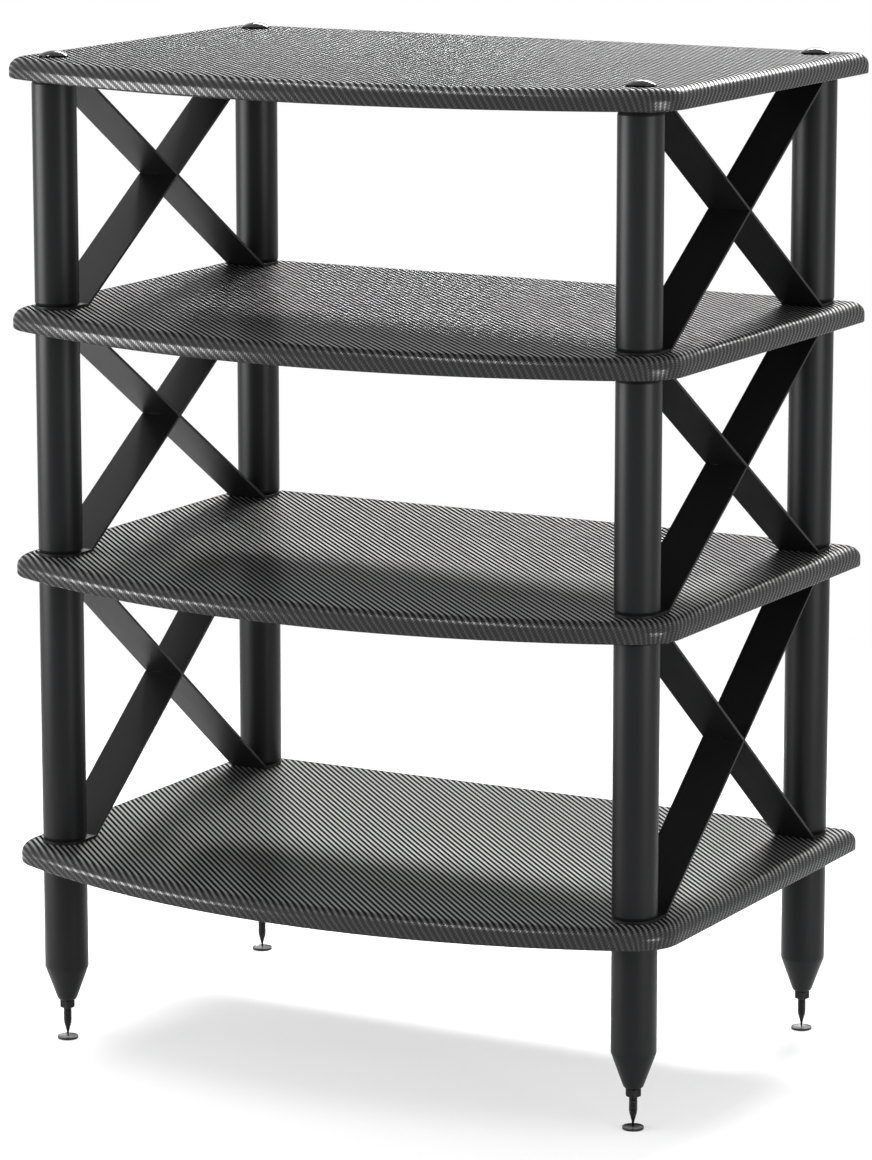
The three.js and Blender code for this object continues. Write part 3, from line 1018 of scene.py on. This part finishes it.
def studio_floor():
    material = bpy.data.materials.new("studio_floor")
    material.use_nodes = True
    material.node_tree.nodes.clear()
    tree = Tree(material.node_tree)
    place = tree.add("ShaderNodeTexCoord", {}, {}, "Object")
    reach = tree.add("ShaderNodeVectorMath", {"operation": "LENGTH"}, {0: place}, "Value")
    fade = ((reach - FADE_START) / FADE_LENGTH).max(0.0).min(1.0)
    paper = tree.add("ShaderNodeBsdfDiffuse", {}, {"Color": (0.5, 0.5, 0.5, 1)})
    glow = tree.add("ShaderNodeEmission", {}, {"Color": WHITE, "Strength": 0.5})
    near = tree.add("ShaderNodeAddShader", {}, {0: paper, 1: glow})
    far = tree.add("ShaderNodeEmission", {}, {"Color": WHITE, "Strength": 1.0})
    both = tree.add("ShaderNodeMixShader", {}, {0: fade, 1: near, 2: far})
    tree.add("ShaderNodeOutputMaterial", {}, {"Surface": both})
    mesh = bpy.data.meshes.new("floor")
    signs = ((-1, -1), (1, -1), (1, 1), (-1, 1))
    mesh.from_pydata([(FLOOR_REACH * x, FLOOR_REACH * y, 0) for x, y in signs], [], [(0, 1, 2, 3)])
    mesh.materials.append(material)
    floor = bpy.data.objects.new("floor", mesh)
    bpy.context.scene.collection.objects.link(floor)


studio_floor()


# %% World and lamps
def studio_world():
    world = bpy.data.worlds.new("studio")
    world.use_nodes = True
    world.node_tree.nodes.clear()
    tree = Tree(world.node_tree)
    camera, glossy, passing = tree.add(
        "ShaderNodeLightPath", {}, {}, ("Is Camera Ray", "Is Glossy Ray", "Is Transmission Ray")
    )
    shown = camera.max(glossy).max(passing)
    room = tree.add("ShaderNodeBackground", {}, {"Color": WHITE, "Strength": 0.55})
    white = tree.add("ShaderNodeBackground", {}, {"Color": WHITE, "Strength": 1.0})
    both = tree.add("ShaderNodeMixShader", {}, {0: shown, 1: room, 2: white})
    tree.add("ShaderNodeOutputWorld", {}, {"Surface": both})
    bpy.context.scene.world = world


def softbox(name, place, target, width, height, watts, spread=180):
    light = bpy.data.lights.new(name, "AREA")
    light.shape, light.size, light.size_y, light.energy = "RECTANGLE", width, height, watts
    light.spread = math.radians(spread)
    lamp = bpy.data.objects.new(name, light)
    lamp.location = place
    lamp.rotation_euler = (Vector(target) - Vector(place)).to_track_quat("-Z", "Y").to_euler()
    bpy.context.scene.collection.objects.link(lamp)


studio_world()
softbox("lamp_left", (-2.45, -1.75, 0.62), (0, 0, 0.6), width=1.9, height=0.9, watts=95)
softbox("lamp_right", (2.93, -0.7, 0.62), (0, 0, 0.6), width=1.5, height=0.9, watts=50)
softbox("lamp_above", (-0.7, -0.5, 3.2), (0, 0, 0.9), width=3.0, height=0.25, watts=50)
softbox("lamp_back", (-0.75, 2.7, 2.35), (-0.1, 0, -0.3), 2.2, 0.35, watts=28, spread=50)
bpy.context.scene.view_settings.view_transform = "Standard"

# %% [markdown]
# ## Camera
# The photograph was taken from the front right, a little above the top board, from about 4.4 m.
# Its upright edges are parallel, which only a shifted lens gives. Here the camera is tipped down
# instead, so that other views of the same scene stay centred.


# %% Camera
LENS, SENSOR = 152.9, 36
CAMERA_PLACE = (2.1122, -3.8353, 1.2915)
TIPPED_DOWN, HEADING = 11.08, 28.636  # degrees


def add_camera():
    data = bpy.data.cameras.new("camera")
    data.lens, data.sensor_width = LENS, SENSOR
    camera = bpy.data.objects.new("camera", data)
    camera.location = CAMERA_PLACE
    camera.rotation_euler = (math.radians(90 - TIPPED_DOWN), 0, math.radians(HEADING))
    bpy.context.scene.collection.objects.link(camera)
    bpy.context.scene.camera = camera


add_camera()
